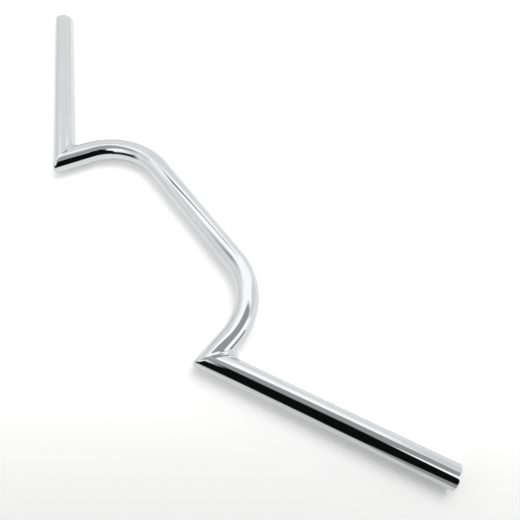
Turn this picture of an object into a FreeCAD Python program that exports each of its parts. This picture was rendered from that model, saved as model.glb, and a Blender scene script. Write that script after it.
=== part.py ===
import FreeCAD
import Part
import Sketcher
import os

# Flat motorbike handlebar, welded from three round tubes that all lie in one plane.
# The centre tube runs straight through the clamp, bends forwards at both ends and rises to a corner.
# A straight grip tube sweeps back from each corner, mitred to the riser and welded in the valley.
# Millimetres. X runs along the straight middle, Y forwards and Z up.
# The origin is on the axis of the centre tube, midway between its bends.

# Driving sizes, each with what it measures
SIZES = [
    ("tube_diameter", 22.2, "outside of every tube"),
    ("wall_thickness", 2.0, "of every tube"),
    ("centre_length", 132.0, "straight run between the two bends"),
    ("bend_radius", 62.0, "to the axis of the centre tube"),
    ("bend_angle", 76.7, "that each end of the centre tube turns through, in degrees"),
    ("riser_length", 26.0, "straight run from a bend to the point where the axes meet"),
    ("grip_length", 217.0, "from the point where the axes meet to the open end"),
    ("grip_sweep", 27.4, "that a grip tube leans back from the X axis, in degrees"),
    ("end_chamfer", 0.5, "broken outer edge of an open end"),
    ("tip_radius", 3.0, "to which the outer tip of a corner is ground"),
    ("weld_radius", 8.0, "hollow face of a corner weld"),
    ("weld_toe", 15.0, "at which that face runs into a tube, in degrees"),
]

# Heights, as degrees round the tube from its middle plane, at which a corner weld is drawn
WELD_HEIGHTS = range(-80, 81, 10)

# What follows from the driving sizes
RADIUS = "(sizes.tube_diameter / 2)"
BORE_RADIUS = "(sizes.tube_diameter / 2 - sizes.wall_thickness)"
HALF_CORNER = "((180 - sizes.bend_angle - sizes.grip_sweep) / 2)"
CORNER_X = (
    "(sizes.centre_length / 2 + sizes.bend_radius * sin(sizes.bend_angle)"
    " + sizes.riser_length * cos(sizes.bend_angle))"
)
CORNER_Y = (
    "(sizes.bend_radius * (1 - cos(sizes.bend_angle))"
    " + sizes.riser_length * sin(sizes.bend_angle))"
)
# A tube is first made this far past the corner, which is more than the long side of its mitre
OVERRUN = f"({RADIUS} / tan({HALF_CORNER}) + sizes.wall_thickness)"
# Reach of the block that cuts a mitre, in each direction from the corner
CUT_REACH = f"({OVERRUN} + sizes.tube_diameter)"
# Distance from the corner to the centre of its ground tip, and half the width of that round
TIP_CENTRE = f"(({RADIUS} - sizes.tip_radius) / sin({HALF_CORNER}))"
TIP_SPREAD = f"(sizes.tip_radius * cos({HALF_CORNER}))"
# A corner weld halfway up the tubes, measured along the line that halves the corner and across it:
# the centre of its hollow face, the valley that it fills, and where that face meets a tube
WELD_CENTRE = f"(({RADIUS} + sizes.weld_radius * cos(sizes.weld_toe)) / sin({HALF_CORNER}))"
WELD_VALLEY = f"({RADIUS} / sin({HALF_CORNER}))"
WELD_SPREAD = f"(sizes.weld_radius * cos({HALF_CORNER} + sizes.weld_toe))"

ORIGIN = -1
X_AXIS = -1
START, END, CENTRE = 1, 2, 3
UPRIGHT = FreeCAD.Vector(0, 0, 1)


def plane_of(body, role):
    """One of a body's own origin planes."""
    for feature in body.Origin.OriginFeatures:
        if feature.Role == role:
            return feature
    raise RuntimeError(f"{body.Label} has no {role}")


def new_sketch(body, name, role):
    """An empty sketch on one of the body's origin planes."""
    sketch = body.newObject("Sketcher::SketchObject", name)
    sketch.AttachmentSupport = [(plane_of(body, role), "")]
    sketch.MapMode = "FlatFace"
    return sketch


def measure(sketch, name, constraint, size):
    """Add a named dimension to a sketch and bind it to an expression."""
    index = sketch.addConstraint(constraint)
    sketch.renameConstraint(index, name)
    sketch.setExpression(f"Constraints.{name}", size)


def place_at_corner(body, side, angle):
    """Stand a body at the left or right corner, turned about the upright through it."""
    body.Placement = FreeCAD.Placement(FreeCAD.Vector(), FreeCAD.Rotation(UPRIGHT, 1))
    body.setExpression("Placement.Base.x", CORNER_X if side > 0 else f"-{CORNER_X}")
    body.setExpression("Placement.Base.y", CORNER_Y)
    body.setExpression("Placement.Rotation.Angle", angle)


def ring_sketch(body, name):
    """The tube's section, square to the body's X axis."""
    sketch = new_sketch(body, name, "YZ_Plane")
    for edge, size in (("outside", RADIUS), ("bore", BORE_RADIUS)):
        circle = Part.Circle(FreeCAD.Vector(), UPRIGHT, sketch.evalExpression(size))
        index = sketch.addGeometry(circle)
        sketch.addConstraint(Sketcher.Constraint("Coincident", index, CENTRE, ORIGIN, START))
        measure(sketch, edge, Sketcher.Constraint("Radius", index, circle.Radius), size)
    return sketch


def block_sketch(body, name, side):
    """A rectangle with one edge on the sketch's X axis, on its positive or negative Y side."""
    sketch = new_sketch(body, name, "XY_Plane")
    reach = sketch.evalExpression(CUT_REACH)
    corners = [
        FreeCAD.Vector(-reach, 0),
        FreeCAD.Vector(reach, 0),
        FreeCAD.Vector(reach, side * reach),
        FreeCAD.Vector(-reach, side * reach),
    ]
    for index, corner in enumerate(corners):
        following = corners[(index + 1) % len(corners)]
        sketch.addGeometry(Part.LineSegment(corner, following))
    base, right, far, left = range(len(corners))
    for index in range(len(corners)):
        following = (index + 1) % len(corners)
        sketch.addConstraint(Sketcher.Constraint("Coincident", index, END, following, START))
    for index in (base, far):
        sketch.addConstraint(Sketcher.Constraint("Horizontal", index))
    for index in (right, left):
        sketch.addConstraint(Sketcher.Constraint("Vertical", index))
    sketch.addConstraint(Sketcher.Constraint("PointOnObject", base, START, X_AXIS))
    before = Sketcher.Constraint("DistanceX", base, START, ORIGIN, START, reach)
    after = Sketcher.Constraint("DistanceX", ORIGIN, START, base, END, reach)
    deep = Sketcher.Constraint("Distance", right, reach)
    for label, constraint in (("before", before), ("after", after), ("deep", deep)):
        measure(sketch, label, constraint, CUT_REACH)
    return sketch


def tip_sketch(body, name):
    """What is ground off the outer tip of a corner, which points along the sketch's negative X axis."""
    sketch = new_sketch(body, name, "XY_Plane")
    reach = sketch.evalExpression(CUT_REACH)
    radius = sketch.evalExpression("sizes.tip_radius")
    spread = sketch.evalExpression(TIP_SPREAD)
    centre = FreeCAD.Vector(-sketch.evalExpression(TIP_CENTRE), 0)
    from_angle = sketch.evalExpression(f"(90 + {HALF_CORNER}) * pi / 180")
    to_angle = sketch.evalExpression(f"(270 - {HALF_CORNER}) * pi / 180")
    arc = Part.ArcOfCircle(Part.Circle(centre, UPRIGHT, radius), from_angle, to_angle)
    below, above = FreeCAD.Vector(-reach, -spread), FreeCAD.Vector(-reach, spread)
    nose = sketch.addGeometry(arc)
    out = sketch.addGeometry(Part.LineSegment(arc.EndPoint, below))
    across = sketch.addGeometry(Part.LineSegment(below, above))
    back = sketch.addGeometry(Part.LineSegment(above, arc.StartPoint))
    for one, other in ((nose, out), (out, across), (across, back), (back, nose)):
        sketch.addConstraint(Sketcher.Constraint("Coincident", one, END, other, START))
    sketch.addConstraint(Sketcher.Constraint("Horizontal", out))
    sketch.addConstraint(Sketcher.Constraint("Horizontal", back))
    sketch.addConstraint(Sketcher.Constraint("Vertical", across))
    sketch.addConstraint(Sketcher.Constraint("PointOnObject", nose, CENTRE, X_AXIS))
    behind = Sketcher.Constraint("DistanceX", nose, CENTRE, ORIGIN, START, -centre.x)
    far = Sketcher.Constraint("DistanceX", across, START, ORIGIN, START, reach)
    upper = Sketcher.Constraint("DistanceY", ORIGIN, START, nose, START, spread)
    lower = Sketcher.Constraint("DistanceY", nose, END, ORIGIN, START, spread)
    measure(sketch, "round", Sketcher.Constraint("Radius", nose, radius), "sizes.tip_radius")
    measure(sketch, "behind", behind, TIP_CENTRE)
    measure(sketch, "far", far, CUT_REACH)
    measure(sketch, "upper", upper, TIP_SPREAD)
    measure(sketch, "lower", lower, TIP_SPREAD)
    return sketch


def through_cut(body, name, sketch):
    """Pocket a sketch right through the body on both sides, and check that it took metal away."""
    doc.recompute()
    before = body.Shape.Volume
    pocket = body.newObject("PartDesign::Pocket", name)
    pocket.Profile = sketch
    pocket.Type = "ThroughAll"
    pocket.SideType = "Symmetric"
    doc.recompute()
    if not 0 < body.Shape.Volume < before:
        raise RuntimeError(f"{name} in {body.Label} cut nothing")
    return pocket


def finish_corner(body, name, side, angle, corner):
    """Mitre a tube at the corner and grind its tip, on the line at the given angle that halves it."""
    block = block_sketch(body, f"{name}Mitre", side)
    tip = tip_sketch(body, f"{name}Tip")
    for sketch in (block, tip):
        sketch.AttachmentOffset = FreeCAD.Placement(FreeCAD.Vector(), FreeCAD.Rotation(UPRIGHT, 1))
        sketch.setExpression("AttachmentOffset.Base.x", corner[0])
        sketch.setExpression("AttachmentOffset.Base.y", corner[1])
        sketch.setExpression("AttachmentOffset.Rotation.Angle", angle)
    through_cut(body, f"{name}MitreCut", block)
    return through_cut(body, f"{name}TipCut", tip)


def centre_tube():
    """Half the tube swept along its axis and mitred, then mirrored to the other half."""
    body = doc.addObject("PartDesign::Body", "CentreTube")
    body.Label = "centre_tube"

    path = new_sketch(body, "CentrePath", "XY_Plane")
    half = path.evalExpression("sizes.centre_length / 2")
    radius = path.evalExpression("sizes.bend_radius")
    bend = path.evalExpression("sizes.bend_angle * pi / 180")
    run = path.evalExpression(f"sizes.riser_length + {OVERRUN}")
    arc_centre = FreeCAD.Vector(half, radius)
    quarter = path.evalExpression("pi / 2")
    arc = Part.ArcOfCircle(Part.Circle(arc_centre, UPRIGHT, radius), -quarter, bend - quarter)
    ahead = FreeCAD.Vector(1, 0)
    ahead = FreeCAD.Rotation(UPRIGHT, path.evalExpression("sizes.bend_angle")).multVec(ahead)
    middle = path.addGeometry(Part.LineSegment(FreeCAD.Vector(), FreeCAD.Vector(half, 0)))
    curve = path.addGeometry(arc)
    riser = path.addGeometry(Part.LineSegment(arc.EndPoint, arc.EndPoint + ahead * run))
    path.addConstraint(Sketcher.Constraint("Coincident", middle, START, ORIGIN, START))
    path.addConstraint(Sketcher.Constraint("Horizontal", middle))
    path.addConstraint(Sketcher.Constraint("Tangent", middle, END, curve, START))
    path.addConstraint(Sketcher.Constraint("Tangent", curve, END, riser, START))
    half_run = Sketcher.Constraint("Distance", middle, half)
    measure(path, "half_run", half_run, "sizes.centre_length / 2")
    measure(path, "bend", Sketcher.Constraint("Radius", curve, radius), "sizes.bend_radius")
    turn = Sketcher.Constraint("Angle", riser, bend)
    measure(path, "turn", turn, "sizes.bend_angle * 1 deg")
    rise = Sketcher.Constraint("Distance", riser, run)
    measure(path, "rise", rise, f"sizes.riser_length + {OVERRUN}")

    pipe = body.newObject("PartDesign::AdditivePipe", "CentreSweep")
    pipe.Profile = ring_sketch(body, "CentreRing")
    pipe.Spine = path

    halving = f"360 - sizes.grip_sweep - {HALF_CORNER}"
    finish_corner(body, "Centre", 1, halving, (CORNER_X, CORNER_Y))

    mirror = body.newObject("PartDesign::Mirrored", "OtherHalf")
    mirror.TransformMode = "Whole shape"
    mirror.MirrorPlane = (plane_of(body, "YZ_Plane"), [""])
    body.Tip = mirror
    return body


def grip_tube(label, side):
    """A straight tube along the body's X axis, mitred at the corner and chamfered at its open end."""
    body = doc.addObject("PartDesign::Body", f"GripTube{label.title()}")
    body.Label = f"{label}_grip_tube"

    pad = body.newObject("PartDesign::Pad", f"GripLength{label.title()}")
    pad.Profile = ring_sketch(body, f"GripRing{label.title()}")
    pad.SideType = "Two sides"
    pad.setExpression("Length", "sizes.grip_length")
    pad.setExpression("Length2", OVERRUN)

    halving = f"360 - {HALF_CORNER}" if side > 0 else HALF_CORNER
    cut = finish_corner(body, f"Grip{label.title()}", -side, halving, ("0", "0"))

    length = pad.Length.Value
    rim = [
        f"Edge{index + 1}"
        for index, edge in enumerate(cut.Shape.Edges)
        if abs(edge.BoundBox.XMin - length) < Part.Precision.confusion()
        and abs(edge.Curve.Radius - pad.evalExpression(RADIUS)) < Part.Precision.confusion()
    ]
    chamfer = body.newObject("PartDesign::Chamfer", f"GripEnd{label.title()}")
    chamfer.Base = (cut, rim)
    chamfer.setExpression("Size", "sizes.end_chamfer")

    place_at_corner(body, side, "360 - sizes.grip_sweep" if side > 0 else "180 + sizes.grip_sweep")
    return body


def weld_section(body, name, height):
    """One level section of a corner weld: its hollow face, and a straight side on each tube.

    The body's X axis halves the corner. A level section through round tubes shrinks with the
    cosine of its height round them, and so does the weld between them.
    """
    sketch = new_sketch(body, name, "XY_Plane")
    sketch.setExpression("AttachmentOffset.Base.z", f"{RADIUS} * sin({height})")
    shrink = f" * cos({height})"
    centre_size = WELD_CENTRE + shrink
    radius_size = "sizes.weld_radius" + shrink
    valley_size = WELD_VALLEY + shrink
    spread_size = WELD_SPREAD + shrink
    centre = FreeCAD.Vector(sketch.evalExpression(centre_size), 0)
    radius = sketch.evalExpression(radius_size)
    spread = sketch.evalExpression(spread_size)
    valley = FreeCAD.Vector(sketch.evalExpression(valley_size), 0)
    from_angle = sketch.evalExpression(f"(90 + {HALF_CORNER} + sizes.weld_toe) * pi / 180")
    to_angle = sketch.evalExpression(f"(270 - {HALF_CORNER} - sizes.weld_toe) * pi / 180")
    arc = Part.ArcOfCircle(Part.Circle(centre, UPRIGHT, radius), from_angle, to_angle)
    face = sketch.addGeometry(arc)
    first = sketch.addGeometry(Part.LineSegment(arc.EndPoint, valley))
    second = sketch.addGeometry(Part.LineSegment(valley, arc.StartPoint))
    sketch.addConstraint(Sketcher.Constraint("Coincident", face, END, first, START))
    sketch.addConstraint(Sketcher.Constraint("Coincident", first, END, second, START))
    sketch.addConstraint(Sketcher.Constraint("Coincident", second, END, face, START))
    sketch.addConstraint(Sketcher.Constraint("PointOnObject", face, CENTRE, X_AXIS))
    sketch.addConstraint(Sketcher.Constraint("PointOnObject", first, END, X_AXIS))
    ahead = Sketcher.Constraint("DistanceX", ORIGIN, START, face, CENTRE, centre.x)
    behind = Sketcher.Constraint("DistanceX", ORIGIN, START, first, END, valley.x)
    above = Sketcher.Constraint("DistanceY", ORIGIN, START, face, START, spread)
    below = Sketcher.Constraint("DistanceY", face, END, ORIGIN, START, spread)
    measure(sketch, "ahead", ahead, centre_size)
    measure(sketch, "behind", behind, valley_size)
    measure(sketch, "hollow", Sketcher.Constraint("Radius", face, radius), radius_size)
    measure(sketch, "above", above, spread_size)
    measure(sketch, "below", below, spread_size)
    return sketch


def corner_weld(label, side):
    """The weld in the valley between riser and grip tube, lofted through its level sections."""
    body = doc.addObject("PartDesign::Body", f"CornerWeld{label.title()}")
    body.Label = f"{label}_corner_weld"
    sections = [
        weld_section(body, f"WeldSection{label.title()}{index}", height)
        for index, height in enumerate(WELD_HEIGHTS)
    ]
    loft = body.newObject("PartDesign::AdditiveLoft", f"WeldFill{label.title()}")
    loft.Profile = sections[0]
    loft.Sections = sections[1:]
    across = f"sizes.grip_sweep + {HALF_CORNER}"
    place_at_corner(body, side, f"360 - ({across})" if side > 0 else f"180 + {across}")
    return body


doc = FreeCAD.newDocument("flat_handlebar")
sheet = doc.addObject("Spreadsheet::Sheet", "sizes")
for row, (alias, value, meaning) in enumerate(SIZES, start=1):
    sheet.set(f"A{row}", str(value))
    sheet.setAlias(f"A{row}", alias)
    sheet.set(f"B{row}", meaning)
doc.recompute()

pieces = [
    centre_tube(),
    grip_tube("left", -1),
    grip_tube("right", 1),
    corner_weld("left", -1),
    corner_weld("right", 1),
]
doc.recompute()

for item in doc.Objects:
    if "Invalid" in item.State or "Error" in item.State:
        raise RuntimeError(f"{item.Label} failed: {item.State}")
for piece in pieces:
    if piece.Shape.isNull() or not piece.Shape.isValid() or len(piece.Shape.Solids) != 1:
        raise RuntimeError(f"{piece.Label} is not one sound solid")

os.makedirs("parts", exist_ok=True)
for piece in pieces:
    piece.Shape.exportStep(f"parts/{piece.Label}.step")
    print(piece.Label, round(piece.Shape.Volume, 1), piece.Shape.BoundBox)
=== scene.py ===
"""Looks of the flat handlebar: a chromed tube bar with mitred, welded and ground corners."""

import math
from collections import namedtuple

import bmesh
import bpy
from bpy.props import FloatProperty, FloatVectorProperty, IntProperty, PointerProperty
from mathutils import Matrix, Vector


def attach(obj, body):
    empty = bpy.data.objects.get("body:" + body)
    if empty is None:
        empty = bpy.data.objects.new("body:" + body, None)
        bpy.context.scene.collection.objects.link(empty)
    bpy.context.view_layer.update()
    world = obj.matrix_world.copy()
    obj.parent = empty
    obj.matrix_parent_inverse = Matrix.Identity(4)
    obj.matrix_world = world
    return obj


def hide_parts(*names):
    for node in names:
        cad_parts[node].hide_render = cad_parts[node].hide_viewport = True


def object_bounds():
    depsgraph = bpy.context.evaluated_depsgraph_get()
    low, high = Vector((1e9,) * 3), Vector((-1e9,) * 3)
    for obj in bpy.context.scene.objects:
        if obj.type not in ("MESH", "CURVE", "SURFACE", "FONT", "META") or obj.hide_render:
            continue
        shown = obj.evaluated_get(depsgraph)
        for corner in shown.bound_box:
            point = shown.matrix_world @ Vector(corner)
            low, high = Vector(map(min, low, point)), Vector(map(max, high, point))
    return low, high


bl_info = {
    "name": "Flat handlebar",
    "version": (1, 0, 0),
    "blender": (4, 5, 0),
    "location": "View3D > Sidebar > Handlebar",
    "description": "Builds a chromed flat handlebar and the studio it is shown in",
    "category": "Object",
}

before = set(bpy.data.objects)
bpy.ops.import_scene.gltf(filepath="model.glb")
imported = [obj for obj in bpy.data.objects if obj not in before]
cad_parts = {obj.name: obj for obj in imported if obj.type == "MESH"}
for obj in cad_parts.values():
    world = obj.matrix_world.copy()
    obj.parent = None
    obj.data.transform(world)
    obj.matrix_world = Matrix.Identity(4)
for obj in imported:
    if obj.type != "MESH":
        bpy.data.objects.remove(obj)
CAD_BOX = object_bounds()
TUBE_TOP = CAD_BOX[1].z
UP = Vector((0.0, 0.0, 1.0))
SIDES = {"left": -1, "right": 1}

# Points closer than this count as one.
TOUCH = 1e-6
# Edges that turn less than this are shaded smooth.
SOFT_TURN = math.radians(40)


class HandlebarSizes(bpy.types.PropertyGroup):
    """Sizes of the bar. Those that the solids have too are the same there."""

    tube_diameter: FloatProperty(
        name="Tube diameter", description="Outside diameter of every tube",
        default=2 * TUBE_TOP, min=0.005, unit="LENGTH", precision=4)
    wall: FloatProperty(
        name="Wall", description="Wall thickness of every tube",
        default=0.002, min=0.0002, unit="LENGTH", precision=4)
    centre_length: FloatProperty(
        name="Centre length", description="Straight middle that the clamp holds",
        default=0.132, min=0.01, unit="LENGTH", precision=4)
    bend_radius: FloatProperty(
        name="Bend radius", description="Radius of the two bends, at the middle of the tube",
        default=0.062, min=0.01, unit="LENGTH", precision=4)
    bend_angle: FloatProperty(
        name="Bend angle", description="Turn of each bend from the middle to the riser",
        default=math.radians(76.7), subtype="ANGLE")
    riser_length: FloatProperty(
        name="Riser length", description="From the end of a bend to the corner, on the centre line",
        default=0.026, min=0.005, unit="LENGTH", precision=4)
    grip_length: FloatProperty(
        name="Grip length", description="From the corner to the open end, on the centre line",
        default=0.217, min=0.05, unit="LENGTH", precision=4)
    grip_sweep: FloatProperty(
        name="Grip sweep", description="How far each grip tube leans back from the bar's line",
        default=math.radians(27.4), subtype="ANGLE")
    weld_leg: FloatProperty(
        name="Weld leg", description="How far the weld reaches along each tube inside the corner",
        default=0.00784, min=0.0005, unit="LENGTH", precision=4)
    weld_radius: FloatProperty(
        name="Weld radius", description="Radius of the weld's hollow face inside the corner",
        default=0.008, min=0.001, unit="LENGTH", precision=4)
    bead_length: FloatProperty(
        name="Bead length", description="How far the weld's swelling runs on to the riser",
        default=0.0048, min=0.0005, unit="LENGTH", precision=4)
    bead_height: FloatProperty(
        name="Bead height", description="Swelling of the weld over the tubes",
        default=0.00045, min=0.0, unit="LENGTH", precision=4)
    seam_leg: FloatProperty(
        name="Seam leg",
        description="How far the ground seam reaches along each tube on the corner's ridge",
        default=0.0028, min=0.0002, unit="LENGTH", precision=4)
    tip_leg: FloatProperty(
        name="Tip leg",
        description="How far the rounding reaches along each tube at the corner's tip",
        default=0.0041, min=0.0005, unit="LENGTH", precision=4)
    corner_reach: FloatProperty(
        name="Corner reach", description="How far each corner piece reaches along both tubes",
        default=0.0245, min=0.01, unit="LENGTH", precision=4)
    end_round: FloatProperty(
        name="End rounding", description="Rounded edge of the open ends",
        default=0.0004, min=0.0001, unit="LENGTH", precision=4)
    end_trim: FloatProperty(
        name="End trim",
        description="How far the rounded ends stop short of the solids' chamfered ends",
        default=0.00025, min=0.0, unit="LENGTH", precision=5)
    facets: IntProperty(
        name="Facets", description="Facets round a tube", default=144, min=24)
    bend_steps: IntProperty(
        name="Bend steps", description="Steps along each bend", default=64, min=12)
    corner_steps: IntProperty(
        name="Corner steps", description="Steps from the mitre to the end of the corner piece",
        default=36, min=4)


class HandlebarFinish(bpy.types.PropertyGroup):
    """Colours of the bar."""

    chrome_colour: FloatVectorProperty(
        name="Chrome", description="Colour of the plating", subtype="COLOR", size=3,
        default=(0.62, 0.63, 0.635), min=0.0, max=1.0)
    chrome_shade: FloatVectorProperty(
        name="Chrome shade", description="Colour of the plating where it is thinner",
        subtype="COLOR", size=3, default=(0.60, 0.61, 0.615), min=0.0, max=1.0)
    bore_colour: FloatVectorProperty(
        name="Bore", description="Colour of the bare steel inside the tubes",
        subtype="COLOR", size=3, default=(0.30, 0.29, 0.28), min=0.0, max=1.0)
    bore_rust: FloatVectorProperty(
        name="Bore stain", description="Colour of the oxide stains inside the tubes",
        subtype="COLOR", size=3, default=(0.16, 0.12, 0.09), min=0.0, max=1.0)


class HandlebarStudio(bpy.types.PropertyGroup):
    """Floor, lamp and mirrored surroundings."""

    floor_colour: FloatVectorProperty(
        name="Floor", description="Colour of the floor", subtype="COLOR", size=3,
        default=(0.90, 0.90, 0.895), min=0.0, max=1.0)
    floor_lift: FloatProperty(
        name="Floor lift", description="White that the camera sees on top of the lit floor",
        default=0.33, min=0.0, max=1.0)
    # Lower white of the floor in front of the bar's left end: a painted shade there.
    painted_shade_lift: FloatProperty(
        name="Near floor lift",
        description="The same in front of the bar's left end, where less light falls",
        default=0.20, min=0.0, max=1.0)
    key_power: FloatProperty(
        name="Key lamp", description="Power of the large soft lamp",
        default=11.0, min=0.0, unit="POWER")
    ambient: FloatProperty(
        name="Ambient", description="Level of the even light from all round",
        default=0.60, min=0.0)
    grey_level: FloatProperty(
        name="Grey screens", description="Brightness of the grey screens",
        default=0.46, min=0.0, max=1.0)
    pale_level: FloatProperty(
        name="Pale screen", description="Brightness of the pale grey screen high over the bar",
        default=0.50, min=0.0, max=1.0)
    low_level: FloatProperty(
        name="Low screen", description="Brightness of the low screen beside the dark one",
        default=0.05, min=0.0, max=1.0)
    side_level: FloatProperty(
        name="Side screens", description="Brightness of the low screens beside the bar's left end",
        default=0.42, min=0.0, max=1.0)
    back_level: FloatProperty(
        name="White screens", description="Brightness of the white screens behind and over the bar",
        default=0.98, min=0.0, max=1.0)
    right_level: FloatProperty(
        name="Right screen", description="Brightness of the white screen over the bar's right end",
        default=1.08, min=0.0, max=2.0)
    strip_level: FloatProperty(
        name="Strip", description="Brightness of the dark grey strip beside the right screen",
        default=0.12, min=0.0, max=1.0)
    dark_level: FloatProperty(
        name="Dark screens", description="Brightness of the dark screens round the camera",
        default=0.006, min=0.0, max=1.0)


def distinct(items):
    """These items without repeats, in the order in which they come."""
    return list(dict.fromkeys(items))


def verts_in(geometry):
    """The vertices in this geometry."""
    return [g for g in geometry if isinstance(g, bmesh.types.BMVert)]


def edges_between(geometry):
    """The edges whose two ends are both in this geometry."""
    verts = verts_in(geometry)
    known = set(verts)
    edges = distinct(e for v in verts for e in v.link_edges)
    return [e for e in edges if known.issuperset(e.verts)]


def ends_of(edges):
    """The vertices of these edges."""
    return distinct(v for e in edges for v in e.verts)


def turn_onto(across, up, along):
    """The turn that brings the three axes onto these headings."""
    return Matrix((across, up, along)).transposed().to_4x4()


def scale_about(place, factor, *heading):
    """A scaling that leaves one place where it is, along a heading if one is given."""
    return (Matrix.Translation(place) @ Matrix.Scale(factor, 4, *heading)
            @ Matrix.Translation(-place))


def tube_ring(bm, sizes, centre, heading):
    """A ring of the tube's outside, square to the heading."""
    made = bmesh.ops.create_circle(
        bm, cap_ends=False, radius=sizes.tube_diameter / 2, segments=sizes.facets,
        matrix=Matrix.Translation(centre) @ turn_onto(UP.cross(heading), UP, heading))
    return edges_between(made["verts"])


def draw_out(bm, ring, travel):
    """Extrudes a ring straight along a vector, and gives the new ring."""
    verts = verts_in(bmesh.ops.extrude_edge_only(bm, edges=ring)["geom"])
    bmesh.ops.translate(bm, verts=verts, vec=travel)
    return edges_between(verts)


def bend_on(bm, ring, sizes, centre, angle):
    """Spins a ring round a bend's centre in the bar's plane, and gives the new ring."""
    made = bmesh.ops.spin(
        bm, geom=ends_of(ring) + ring, cent=centre, axis=UP, dvec=(0, 0, 0),
        angle=angle, steps=sizes.bend_steps, use_merge=False, use_duplicate=False)
    return edges_between(made["geom_last"])


def close_skin(bm):
    """Merges the points that touch, and turns the faces outwards."""
    bmesh.ops.remove_doubles(bm, verts=bm.verts, dist=TOUCH)
    bmesh.ops.recalc_face_normals(bm, faces=bm.faces)


def give_wall(bm, sizes):
    """Turns a skin into a closed tube with a wall. The inside faces take the second material."""
    close_skin(bm)
    inside = bmesh.ops.solidify(bm, geom=list(bm.faces), thickness=sizes.wall)["geom"]
    for face in inside:
        if isinstance(face, bmesh.types.BMFace):
            face.material_index = 1


def new_object(name, data):
    """An object in the scene."""
    made = bpy.data.objects.new(name, data)
    bpy.context.scene.collection.objects.link(made)
    return made


def mesh_object(bm, name, *materials):
    """An object with this mesh and these materials, at the origin."""
    mesh = bpy.data.meshes.new(name)
    bm.to_mesh(mesh)
    bm.free()
    for material in materials:
        mesh.materials.append(material)
    return new_object(name, mesh)


def finish_piece(bm, name, *nodes):
    """Makes the piece's object, which stands for the CAD nodes and rides on the bar."""
    for face in bm.faces:
        face.smooth = True
    for edge in bm.edges:
        edge.smooth = edge.calc_face_angle(0.0) < SOFT_TURN
    if any(edge.is_boundary for edge in bm.edges):
        raise RuntimeError(f"{name} isn't closed")
    piece = mesh_object(bm, name, chrome_plate(), bare_bore())
    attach(piece, "root")
    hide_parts(*nodes)


def route(sizes, side):
    """One half of the bar's centre line: bend end, corner, grip end and the two headings."""
    bend_end = Vector((
        side * (sizes.centre_length / 2 + sizes.bend_radius * math.sin(sizes.bend_angle)),
        sizes.bend_radius * (1 - math.cos(sizes.bend_angle)), 0.0))
    riser = Vector((side * math.cos(sizes.bend_angle), math.sin(sizes.bend_angle), 0.0))
    grip = Vector((side * math.cos(sizes.grip_sweep), -math.sin(sizes.grip_sweep), 0.0))
    corner = bend_end + riser * sizes.riser_length
    return bend_end, corner, corner + grip * (sizes.grip_length - sizes.end_trim), riser, grip


class HANDLEBAR_OT_centre_tube(bpy.types.Operator):
    """Draw the centre tube: riser, bend, straight middle, bend and riser"""

    bl_idname = "handlebar.centre_tube"
    bl_label = "Centre tube"

    def execute(self, context):
        sizes = context.scene.handlebar_sizes
        bend_end, _, _, left_riser, _ = route(sizes, SIDES["left"])
        _, _, _, right_riser, _ = route(sizes, SIDES["right"])
        short = sizes.riser_length - sizes.corner_reach
        half, radius = sizes.centre_length / 2, sizes.bend_radius
        guard = Vector((short, 0.0, 0.0))
        bm = bmesh.new()
        ring = tube_ring(bm, sizes, bend_end + left_riser * short, -left_riser)
        ring = draw_out(bm, ring, -left_riser * short)
        ring = bend_on(bm, ring, sizes, (-half, radius, 0.0), sizes.bend_angle)
        for travel in (guard, Vector((2 * half, 0.0, 0.0)) - 2 * guard, guard):
            ring = draw_out(bm, ring, travel)
        ring = bend_on(bm, ring, sizes, (half, radius, 0.0), sizes.bend_angle)
        draw_out(bm, ring, right_riser * short)
        give_wall(bm, sizes)
        finish_piece(bm, "centre_tube_chrome", "centre_tube")
        return {"FINISHED"}


# Loops of edges on a corner piece. Square ones lie at these shares of its reach. Those along the
# mitre fill this share of the room beside it, and crowd towards it by this power.
SQUARE_LOOPS = (0.5, 0.6, 0.7, 0.8, 0.9)
MITRE_LOOP_SPAN = 0.96
MITRE_LOOP_CROWDING = 1.3
# A plane that cuts the skin takes up points that lie this close to it.
CUT_SNAP = 2e-5
# Lean is 1 inside the corner, 0 on its ridge and -1 at its tip. The rounding of the ridge and that
# of the tip come in over these ranges of -lean, and the weld's bead over this range of lean.
SEAM_RANGE = (0.0, 0.26)
TIP_RANGE = (0.75, 1.0)
BEAD_RANGE = (-0.22, 0.05)
# The bead's flank as a share of its length, its length on the grip tube as a share of that on the
# riser, how fast the ground face beside it fades, and the least slope that room is measured on.
BEAD_FLANK = 0.65
GRIP_BEAD = 0.7
GROUND_FADE = 1.6
LEAST_SLOPE = 0.1


def smooth_step(low, high, value):
    """0 below low, 1 above high, and an even change between them."""
    share = min(max((value - low) / (high - low), 0.0), 1.0)
    return share * share * (3 - 2 * share)


def hollow(run, radius, middle, half_angle):
    """How far a point moves along the corner's halving line to lie on an arc across the corner."""
    across = min(run * math.sin(half_angle), radius)
    arc = middle - math.sqrt(radius * radius - across * across)
    return max(arc - run * math.cos(half_angle), 0.0)


def corner_shift(sizes, run, lean, half_angle):
    """Fills the corner inside, where lean is positive, and rounds its ridge and tip outside."""
    if lean > 0:
        leg, radius = sizes.weld_leg, sizes.weld_radius
        depth = math.sqrt(radius ** 2 - (leg * math.sin(half_angle)) ** 2)
        middle = leg * math.cos(half_angle) + depth
        return lean * hollow(run / lean, radius, middle, half_angle) if run < leg * lean else 0.0
    leg = sizes.seam_leg * smooth_step(*SEAM_RANGE, -lean)
    leg += (sizes.tip_leg - sizes.seam_leg) * smooth_step(*TIP_RANGE, -lean)
    radius = leg * math.tan(half_angle)
    return hollow(run, radius, radius / math.sin(half_angle), half_angle) if run < leg else 0.0


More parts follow.
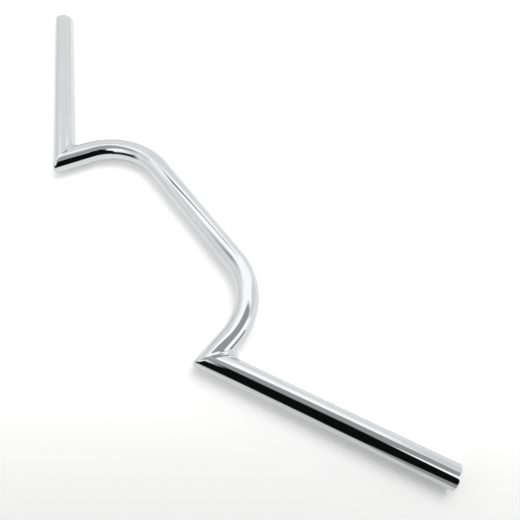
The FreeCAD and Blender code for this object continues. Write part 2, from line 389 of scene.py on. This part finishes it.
def swell(sizes, vert, run, lean, out, length, end):
    """Raises the weld over the tube.

    Under the tube's top it has no room, and the tube is ground in beside it instead.
    """
    side = smooth_step(*BEAD_RANGE, lean)
    room = max(TUBE_TOP - abs(vert.co.z), 0.0) / max(abs(out.z), LEAST_SLOPE)
    proud = min(sizes.bead_height, room)
    rise = min(max(1 - run / length, 0.0), BEAD_FLANK) / BEAD_FLANK
    fade = 0.0
    if end > length:
        fade = min(max((end - run) / (end - length), 0.0), 1.0) ** GROUND_FADE
    vert.co += out * side * (rise * proud - (1 - rise) * fade * (sizes.bead_height - proud))


def cut(bm, faces, place, normal, keep_outer=True):
    """Cuts these faces with a plane, and clears what lies past it unless that is kept."""
    faces = list(faces)
    geometry = faces + distinct(e for f in faces for e in f.edges)
    geometry += distinct(v for f in faces for v in f.verts)
    bmesh.ops.bisect_plane(
        bm, geom=geometry, dist=CUT_SNAP, plane_co=place, plane_no=normal,
        clear_outer=not keep_outer)


def corner_skin(bm, sizes, corner, riser, mitre, half_angle):
    """The outside of the riser's half of a corner, with its loops. Gives the ring at its end."""
    reach = sizes.corner_reach
    ring = tube_ring(bm, sizes, corner - riser * reach, riser)
    draw_out(bm, ring, 2 * riser * reach)
    cut(bm, bm.faces, corner, mitre, keep_outer=False)
    for share in SQUARE_LOOPS:
        cut(bm, bm.faces, corner - riser * share * reach, riser)
    span = MITRE_LOOP_SPAN * (reach - sizes.tube_diameter / 2 / math.tan(half_angle))
    for step in range(1, sizes.corner_steps):
        run = span * (step / sizes.corner_steps) ** MITRE_LOOP_CROWDING
        cut(bm, bm.faces, corner - riser * run, mitre)
    return ring


def corner_bore(bm, sizes, corner, riser, mitre, ring):
    """The inside of the riser's half of a corner, drawn from the ring at its end."""
    centre = corner - riser * sizes.corner_reach
    lip = draw_out(bm, ring, Vector())
    bmesh.ops.transform(
        bm, verts=ends_of(lip),
        matrix=scale_about(centre, 1 - sizes.wall / (sizes.tube_diameter / 2)))
    draw_out(bm, lip, 2 * riser * sizes.corner_reach)
    outer = set(ring)
    bore = [face for edge in lip for face in edge.link_faces if outer.isdisjoint(face.edges)]
    for face in bore:
        face.material_index = 1
    cut(bm, bore, corner, mitre, keep_outer=False)


class HANDLEBAR_OT_corners(bpy.types.Operator):
    """Mitre the two corners, weld them inside and grind them round"""

    bl_idname = "handlebar.corners"
    bl_label = "Corners"

    def execute(self, context):
        sizes = context.scene.handlebar_sizes
        radius = sizes.tube_diameter / 2
        for name, side in SIDES.items():
            _, corner, _, riser, grip = route(sizes, side)
            mitre = (riser + grip).normalized()
            halving = (grip - riser).normalized()
            inner = (grip - riser * grip.dot(riser)).normalized()
            half_angle = (-riser).angle(grip) / 2
            bm = bmesh.new()
            ring = corner_skin(bm, sizes, corner, riser, mitre, half_angle)
            skin = {}
            for vert in bm.verts:
                place = vert.co - corner
                ahead = place.dot(riser)
                lean = place.dot(inner) / radius
                run = max(-ahead - lean * radius / math.tan(half_angle), 0.0)
                out = (place - riser * ahead) / radius
                skin[vert] = run, lean, out - mitre * out.dot(mitre)
                vert.co += halving * corner_shift(sizes, run, lean, half_angle)
            corner_bore(bm, sizes, corner, riser, mitre, ring)
            twin = bmesh.ops.duplicate(bm, geom=bm.verts[:] + bm.edges[:] + bm.faces[:])
            for vert, copy in twin["vert_map"].items():
                if vert in skin:
                    run, lean, out = skin[vert]
                    end = sizes.corner_reach - lean * radius / math.tan(half_angle)
                    swell(sizes, vert, run, lean, out, sizes.bead_length, end)
                    swell(sizes, copy, run, lean, out, GRIP_BEAD * sizes.bead_length, 0.0)
            bmesh.ops.transform(
                bm, verts=verts_in(twin["geom"]), matrix=scale_about(corner, -1, mitre))
            close_skin(bm)
            finish_piece(bm, f"{name}_corner_chrome", f"{name}_corner_weld")
        return {"FINISHED"}


# At an open end, edges that turn more than this are rounded, in this many steps, and the tube's
# last ring stands off by this many times the rounding.
RIM_TURN = math.radians(60)
RIM_STEPS = 3
RIM_GUARD = 4


class HANDLEBAR_OT_grip_tubes(bpy.types.Operator):
    """Draw the two grip tubes from the corners to their open ends"""

    bl_idname = "handlebar.grip_tubes"
    bl_label = "Grip tubes"

    def execute(self, context):
        sizes = context.scene.handlebar_sizes
        guard = RIM_GUARD * sizes.end_round
        for name, side in SIDES.items():
            _, corner, end, _, grip = route(sizes, side)
            bm = bmesh.new()
            ring = tube_ring(bm, sizes, corner + grip * sizes.corner_reach, grip)
            ring = draw_out(bm, ring, end - corner - grip * (sizes.corner_reach + guard))
            draw_out(bm, ring, grip * guard)
            give_wall(bm, sizes)
            rim = [e for e in bm.edges
                   if all(abs((v.co - end).dot(grip)) < TOUCH for v in e.verts)
                   and e.calc_face_angle(0.0) > RIM_TURN]
            bmesh.ops.bevel(
                bm, geom=rim, offset=sizes.end_round, offset_type="OFFSET", affect="EDGES",
                segments=RIM_STEPS, profile=0.5, material=-1)
            finish_piece(bm, f"{name}_grip_chrome", f"{name}_grip_tube")
        return {"FINISHED"}


def socket(tree, name, direction, value=None):
    """One named number socket of a node group."""
    made = tree.interface.new_socket(
        name=name, in_out=direction, socket_type="NodeSocketFloat")
    if value is not None:
        made.default_value = value


def add(tree, kind, **settings):
    """One node. Settings that name an input set it, and the others set the node."""
    node = tree.nodes.new(kind)
    for name, value in settings.items():
        if name in node.inputs:
            node.inputs[name].default_value = value
        else:
            setattr(node, name, value)
    return node


def eased_range(tree, low, high, **settings):
    """A map of the range from low to high that starts and ends evenly."""
    return add(tree, "ShaderNodeMapRange", interpolation_type="SMOOTHSTEP",
               **{"From Min": low, "From Max": high}, **settings)


def colour_mix(tree):
    """A mix of two colours: its factor, its two colours and its result."""
    node = add(tree, "ShaderNodeMix", data_type="RGBA")
    first, second = (s for s in node.inputs if s.type == "RGBA")
    return node.inputs["Factor"], first, second, next(s for s in node.outputs if s.type == "RGBA")


def grey(level):
    """A grey colour of this brightness."""
    return level, level, level, 1.0


# The drift's inputs and their defaults, the share of the grain in the level, and the parts of the
# noises' range that haze and tone follow.
DRIFT_INPUTS = {"Patch Scale": 60.0, "Grain Scale": 900.0, "Haze Low": 0.03, "Haze High": 0.06}
GRAIN_SHARE = 0.4
HAZE_RANGE = (0.3, 0.7)
TONE_RANGE = (0.35, 0.65)


def surface_drift():
    """Slow drift of tone, haze and level over a metal surface, shared by chrome and bore."""
    tree = bpy.data.node_groups.get("surface_drift")
    if tree:
        return tree
    tree = bpy.data.node_groups.new("surface_drift", "ShaderNodeTree")
    for name, value in DRIFT_INPUTS.items():
        socket(tree, name, "INPUT", value)
    for name in ("Tone", "Haze", "Level"):
        socket(tree, name, "OUTPUT")
    inlet, outlet = add(tree, "NodeGroupInput"), add(tree, "NodeGroupOutput")
    place = add(tree, "ShaderNodeTexCoord")
    patch = add(tree, "ShaderNodeTexNoise", Detail=2.0, Roughness=0.45)
    grain = add(tree, "ShaderNodeTexNoise", Detail=3.0, Roughness=0.6)
    both = add(tree, "ShaderNodeMix", data_type="FLOAT", Factor=GRAIN_SHARE)
    haze = eased_range(tree, *HAZE_RANGE)
    tone = eased_range(tree, *TONE_RANGE)
    link = tree.links.new
    link(place.outputs["Object"], patch.inputs["Vector"])
    link(place.outputs["Object"], grain.inputs["Vector"])
    link(inlet.outputs["Patch Scale"], patch.inputs["Scale"])
    link(inlet.outputs["Grain Scale"], grain.inputs["Scale"])
    link(patch.outputs["Fac"], both.inputs["A"])
    link(grain.outputs["Fac"], both.inputs["B"])
    link(both.outputs["Result"], haze.inputs["Value"])
    link(inlet.outputs["Haze Low"], haze.inputs["To Min"])
    link(inlet.outputs["Haze High"], haze.inputs["To Max"])
    link(patch.outputs["Fac"], tone.inputs["Value"])
    link(tone.outputs["Result"], outlet.inputs["Tone"])
    link(haze.outputs["Result"], outlet.inputs["Haze"])
    link(both.outputs["Result"], outlet.inputs["Level"])
    return tree


def metal(name, colours, drift, bump):
    """A metal whose tone, haze and level drift over the surface."""
    made = bpy.data.materials.get(name)
    if made:
        return made
    made = bpy.data.materials.new(name)
    made.use_nodes = True
    tree = made.node_tree
    shader = tree.nodes["Principled BSDF"]
    shader.inputs["Metallic"].default_value = 1.0
    group = add(tree, "ShaderNodeGroup", node_tree=surface_drift())
    for key, value in drift.items():
        group.inputs[key].default_value = value
    factor, first, second, blend = colour_mix(tree)
    for colour_in, colour in zip((first, second), colours):
        colour_in.default_value = (*colour, 1.0)
    relief = add(tree, "ShaderNodeBump", **bump)
    link = tree.links.new
    link(group.outputs["Tone"], factor)
    link(blend, shader.inputs["Base Color"])
    link(group.outputs["Haze"], shader.inputs["Roughness"])
    link(group.outputs["Level"], relief.inputs["Height"])
    link(relief.outputs["Normal"], shader.inputs["Normal"])
    return made


def chrome_plate():
    """The polished plating on the outside."""
    finish = bpy.context.scene.handlebar_finish
    return metal(
        "bar_chrome", (finish.chrome_colour, finish.chrome_shade),
        {"Patch Scale": 45.0, "Grain Scale": 700.0, "Haze Low": 0.025, "Haze High": 0.05},
        {"Strength": 0.05, "Distance": 0.0002})


def bare_bore():
    """The bare, stained steel inside the tubes."""
    finish = bpy.context.scene.handlebar_finish
    return metal(
        "bar_bore", (finish.bore_colour, finish.bore_rust),
        {"Patch Scale": 120.0, "Grain Scale": 1500.0, "Haze Low": 0.35, "Haze High": 0.6},
        {"Strength": 0.3, "Distance": 0.0003})


# The floor, and the heading and range in which its white falls off in front of the bar's left end,
# as painted shade.
FLOOR_HALF = 6.0
FLOOR_ROUGHNESS = 0.7
FLOOR_SHINE = 0.2
PAINTED_SHADE_HEADING = (-0.80, 0.60, 0.0)
PAINTED_SHADE_RANGE = (0.13, 0.28)
# The lamp, which points at the middle of the bar.
LAMP_SIZE = 1.1
LAMP_PLACE = (0.10, -0.55, 1.40)
# The room that mirrors see: the heading in which it grows brighter, the brightness at shares of
# the way, and its blue against its red and green.
ROOM_HEADING = (-0.28, -0.15, 1.0)
ROOM_STOPS = ((0.0, 0.97), (0.25, 1.06), (0.50, 1.32), (0.70, 1.52))
ROOM_BLUE = 1.005
# The camera: its place, its two picture axes, its lens and sensor in millimetres, and its clip.
CAMERA_PLACE = (-0.23334, 0.12104, 0.40702)
CAMERA_RIGHT = Vector((-0.61115, -0.79026, 0.04465))
CAMERA_UP = Vector((0.71774, -0.52953, 0.45216))
CAMERA_LENS = 33.1526
CAMERA_SENSOR = 36.0
CAMERA_CLIP = 0.01


def level_outline(height, places):
    """The corners of a level screen over these places."""
    return [(x, y, height) for x, y in places]


def upright_outline(first, second, bottom, top):
    """The corners of an upright screen between two places."""
    return [(*first, bottom), (*second, bottom), (*second, top), (*first, top)]


# The screens that the chrome mirrors. Level names the setting of the brightness, and softness is
# the width of the soft edge.
Screen = namedtuple("Screen", "name level softness outline")
SCREENS = (
    Screen("dark_screen", level="dark_level", softness=0.03, outline=level_outline(
        height=0.43, places=(
            (-0.125, 0.150), (-0.122, 0.200), (-0.150, 0.262), (-0.172, 0.340),
            (-0.192, 0.470), (-0.215, 0.620), (-0.850, 0.180), (-0.850, 0.040),
            (-0.520, -0.025), (-0.300, 0.004), (-0.195, 0.104)))),
    Screen("high_screen", level="dark_level", softness=0.025, outline=level_outline(
        height=0.71, places=(
            (-0.212, 0.300), (-0.212, 0.450), (-0.275, 0.560), (-0.450, 0.560),
            (-0.450, 0.300)))),
    Screen("dark_skirt", level="dark_level", softness=0.04, outline=upright_outline(
        (-0.220, 0.590), (-0.850, 0.150), bottom=0.02, top=0.50)),
    Screen("low_screen", level="low_level", softness=0.07, outline=upright_outline(
        (0.170, 0.735), (-0.360, 0.576), bottom=-0.05, top=0.36)),
    Screen("side_screen", level="side_level", softness=0.08, outline=upright_outline(
        (-1.10, 1.45), (-1.10, -0.80), bottom=0.0, top=0.46)),
    Screen("end_screen", level="side_level", softness=0.015, outline=(
        (-0.340, 0.115, -0.02), (-0.560, -0.050, -0.02),
        (-0.560, -0.050, 0.14), (-0.340, 0.115, 0.03))),
    Screen("far_screen", level="dark_level", softness=0.03, outline=upright_outline(
        (-1.05, 0.620), (-1.05, 0.200), bottom=-0.03, top=0.16)),
    Screen("back_screen", level="back_level", softness=0.12, outline=(
        (-0.80, -0.83, 0.10), (-0.02, -0.83, 0.10),
        (-0.10, -0.83, 0.90), (-0.80, -0.83, 0.90))),
    Screen("grey_screen", level="grey_level", softness=0.04, outline=level_outline(
        height=0.44, places=(
            (-0.410, 0.110), (-0.170, 0.140), (0.040, 0.025), (0.005, -0.050),
            (-0.005, -0.120), (-0.065, -0.215), (-0.160, -0.310), (-0.290, -0.420),
            (-0.430, -0.430), (-0.475, -0.120), (-0.410, -0.050)))),
    Screen("pale_screen", level="pale_level", softness=0.13, outline=level_outline(
        height=0.80, places=(
            (-0.480, 0.050), (0.060, -0.050), (0.340, 0.060), (0.430, 0.300),
            (0.430, 0.640), (0.040, 0.630), (-0.100, 0.560), (-0.400, 0.460)))),
    Screen("strip_screen", level="strip_level", softness=0.035, outline=level_outline(
        height=0.46, places=(
            (0.315, 0.045), (0.400, -0.005), (0.310, -0.200), (0.205, -0.360),
            (0.110, -0.330), (0.225, -0.170)))),
    Screen("right_screen", level="right_level", softness=0.06, outline=level_outline(
        height=0.44, places=(
            (0.330, 0.060), (0.345, -0.200), (0.400, -0.500), (0.400, -1.000),
            (1.400, -1.000), (1.400, 0.100)))),
    Screen("top_screen", level="back_level", softness=0.08, outline=level_outline(
        height=0.85, places=(
            (0.360, 0.200), (0.620, 0.220), (0.750, 0.600), (0.650, 1.000),
            (0.150, 1.050), (-0.020, 0.800), (0.050, 0.600)))),
    Screen("middle_screen", level="grey_level", softness=0.10, outline=upright_outline(
        (0.060, 0.800), (0.260, 0.830), bottom=-0.05, top=0.55)),
)
# The screens that matt surfaces see as well.
SHADING_SCREENS = ("dark_screen", "dark_skirt")


def along(tree, coordinate, heading):
    """How far a coordinate lies along a heading."""
    place = add(tree, "ShaderNodeTexCoord")
    node = add(tree, "ShaderNodeVectorMath", operation="DOT_PRODUCT")
    node.inputs[1].default_value = heading
    tree.links.new(place.outputs[coordinate], node.inputs[0])
    return node.outputs["Value"]


def either(tree, first, second):
    """The larger of two values."""
    node = add(tree, "ShaderNodeMath", operation="MAXIMUM")
    tree.links.new(first, node.inputs[0])
    tree.links.new(second, node.inputs[1])
    return node.outputs[0]


def mirrored_rays(tree, path):
    """1 for rays that come from a mirror or through glass."""
    return either(tree, path.outputs["Is Glossy Ray"], path.outputs["Is Transmission Ray"])


def stage_mesh(bm, name, material):
    """An object of the studio with this mesh and material, at the origin."""
    made = mesh_object(bm, name, material)
    return made


def lay_floor(settings):
    """A matt floor under the bar, which cameras and mirrors see whiter than it is lit, with painted
    shade in front of the bar's left end.
    """
    material = bpy.data.materials.new("studio_floor")
    material.use_nodes = True
    tree = material.node_tree
    link = tree.links.new
    shader = tree.nodes["Principled BSDF"]
    shader.inputs["Base Color"].default_value = (*settings.floor_colour, 1.0)
    shader.inputs["Roughness"].default_value = FLOOR_ROUGHNESS
    shader.inputs["Specular IOR Level"].default_value = FLOOR_SHINE
    # The white drops in front of the bar's left end: a painted shade on the floor.
    fall = eased_range(
        tree, *PAINTED_SHADE_RANGE, **{"To Min": settings.floor_lift, "To Max": settings.painted_shade_lift})
    link(along(tree, "Object", PAINTED_SHADE_HEADING), fall.inputs["Value"])
    path = add(tree, "ShaderNodeLightPath")
    seen = either(tree, path.outputs["Is Camera Ray"], mirrored_rays(tree, path))
    lift = add(tree, "ShaderNodeMath", operation="MULTIPLY")
    link(seen, lift.inputs[0])
    link(fall.outputs["Result"], lift.inputs[1])
    glow = add(tree, "ShaderNodeEmission")
    link(lift.outputs[0], glow.inputs["Strength"])
    both = add(tree, "ShaderNodeAddShader")
    link(shader.outputs[0], both.inputs[0])
    link(glow.outputs[0], both.inputs[1])
    link(both.outputs[0], tree.nodes["Material Output"].inputs["Surface"])
    bm = bmesh.new()
    bmesh.ops.create_grid(
        bm, x_segments=1, y_segments=1, size=FLOOR_HALF,
        matrix=Matrix.Translation((0.0, 0.0, -TUBE_TOP)))
    stage_mesh(bm, "studio_floor", material)


def hang_lamp(settings):
    """The large soft lamp, which the chrome doesn't mirror."""
    lamp = bpy.data.lights.new("key_lamp", "AREA")
    lamp.shape = "DISK"
    lamp.size = LAMP_SIZE
    lamp.energy = settings.key_power
    made = new_object("key_lamp", lamp)
    made.location = LAMP_PLACE
    made.rotation_euler = (-made.location).to_track_quat("-Z", "Y").to_euler()
    made.visible_glossy = False


def hang_screen(settings, screen):
    """A flat screen with a soft edge. Mirrors see it, and matt surfaces if it is a shading one."""
    material = bpy.data.materials.new(screen.name)
    material.use_nodes = True
    tree = material.node_tree
    link = tree.links.new
    tree.nodes.remove(tree.nodes["Principled BSDF"])
    glow = add(tree, "ShaderNodeEmission",
               Color=grey(getattr(settings, screen.level)), Strength=1.0)
    clear = add(tree, "ShaderNodeBsdfTransparent")
    cover = add(tree, "ShaderNodeAttribute", attribute_name="cover")
    edge = add(tree, "ShaderNodeMixShader")
    link(cover.outputs["Fac"], edge.inputs[0])
    link(clear.outputs[0], edge.inputs[1])
    link(glow.outputs[0], edge.inputs[2])
    link(edge.outputs[0], tree.nodes["Material Output"].inputs["Surface"])
    bm = bmesh.new()
    layer = bm.verts.layers.float.new("cover")
    rim = [bm.verts.new(corner) for corner in screen.outline]
    face = bm.faces.new(rim)
    face.normal_update()
    bmesh.ops.inset_region(
        bm, faces=[face], thickness=screen.softness, use_even_offset=True, use_boundary=True)
    for vert in bm.verts:
        vert[layer] = 0.0 if vert in rim else 1.0
    made = stage_mesh(bm, screen.name, material)
    made.visible_camera = made.visible_shadow = False
    made.visible_diffuse = screen.name in SHADING_SCREENS


def light_room(context, settings):
    """White for the camera, graded for mirrors and even for all other rays."""
    world = bpy.data.worlds.new("studio_room")
    context.scene.world = world
    world.use_nodes = True
    tree = world.node_tree
    link = tree.links.new
    ramp = add(tree, "ShaderNodeValToRGB")
    stops = ramp.color_ramp.elements
    ramp.color_ramp.interpolation = "EASE"
    for k, (share, level) in enumerate(ROOM_STOPS):
        stop = stops[k] if k < len(stops) else stops.new(share)
        stop.position = share
        stop.color = (level, level, level * ROOM_BLUE, 1.0)
    link(along(tree, "Generated", ROOM_HEADING), ramp.inputs["Fac"])
    path = add(tree, "ShaderNodeLightPath")
    factor, even, graded, room = colour_mix(tree)
    even.default_value = grey(settings.ambient)
    link(mirrored_rays(tree, path), factor)
    link(ramp.outputs["Color"], graded)
    factor, unseen, seen, result = colour_mix(tree)
    seen.default_value = grey(1.0)
    link(path.outputs["Is Camera Ray"], factor)
    link(room, unseen)
    link(result, tree.nodes["Background"].inputs["Color"])


def set_camera(context):
    """The camera, which looks down along the bar from its left end."""
    camera = bpy.data.cameras.new("photo_camera")
    camera.sensor_width = CAMERA_SENSOR
    camera.lens = CAMERA_LENS
    camera.clip_start = CAMERA_CLIP
    made = new_object("photo_camera", camera)
    made.matrix_world = Matrix.Translation(CAMERA_PLACE) @ turn_onto(
        CAMERA_RIGHT, CAMERA_UP, CAMERA_RIGHT.cross(CAMERA_UP))
    context.scene.camera = made


class HANDLEBAR_OT_studio(bpy.types.Operator):
    """Lay the floor, hang the lamp and the mirrored screens, and set up the camera"""

    bl_idname = "handlebar.studio"
    bl_label = "Studio"

    def execute(self, context):
        settings = context.scene.handlebar_studio
        lay_floor(settings)
        hang_lamp(settings)
        for screen in SCREENS:
            hang_screen(settings, screen)
        light_room(context, settings)
        set_camera(context)
        context.scene.view_settings.view_transform = "Standard"
        return {"FINISHED"}


class HANDLEBAR_PT_sidebar(bpy.types.Panel):
    """Sizes, finish and studio of the handlebar"""

    bl_idname = "HANDLEBAR_PT_sidebar"
    bl_label = "Flat handlebar"
    bl_space_type = "VIEW_3D"
    bl_region_type = "UI"
    bl_category = "Handlebar"

    def draw(self, context):
        for name, group in GROUPS.items():
            column = self.layout.column(align=True)
            for setting in group.__annotations__:
                column.prop(getattr(context.scene, name), setting)
        for operator in OPERATORS:
            self.layout.operator(operator.bl_idname)


GROUPS = {
    "handlebar_sizes": HandlebarSizes,
    "handlebar_finish": HandlebarFinish,
    "handlebar_studio": HandlebarStudio,
}
OPERATORS = (
    HANDLEBAR_OT_centre_tube,
    HANDLEBAR_OT_corners,
    HANDLEBAR_OT_grip_tubes,
    HANDLEBAR_OT_studio,
)


def register():
    for name, group in GROUPS.items():
        bpy.utils.register_class(group)
        setattr(bpy.types.Scene, name, PointerProperty(type=group))
    for operator in OPERATORS:
        bpy.utils.register_class(operator)
    bpy.utils.register_class(HANDLEBAR_PT_sidebar)


def unregister():
    bpy.utils.unregister_class(HANDLEBAR_PT_sidebar)
    for operator in reversed(OPERATORS):
        bpy.utils.unregister_class(operator)
    for name, group in GROUPS.items():
        delattr(bpy.types.Scene, name)
        bpy.utils.unregister_class(group)


def main():
    register()
    bpy.ops.handlebar.centre_tube()
    bpy.ops.handlebar.corners()
    bpy.ops.handlebar.grip_tubes()
    bpy.ops.handlebar.studio()


if __name__ == "__main__":
    main()
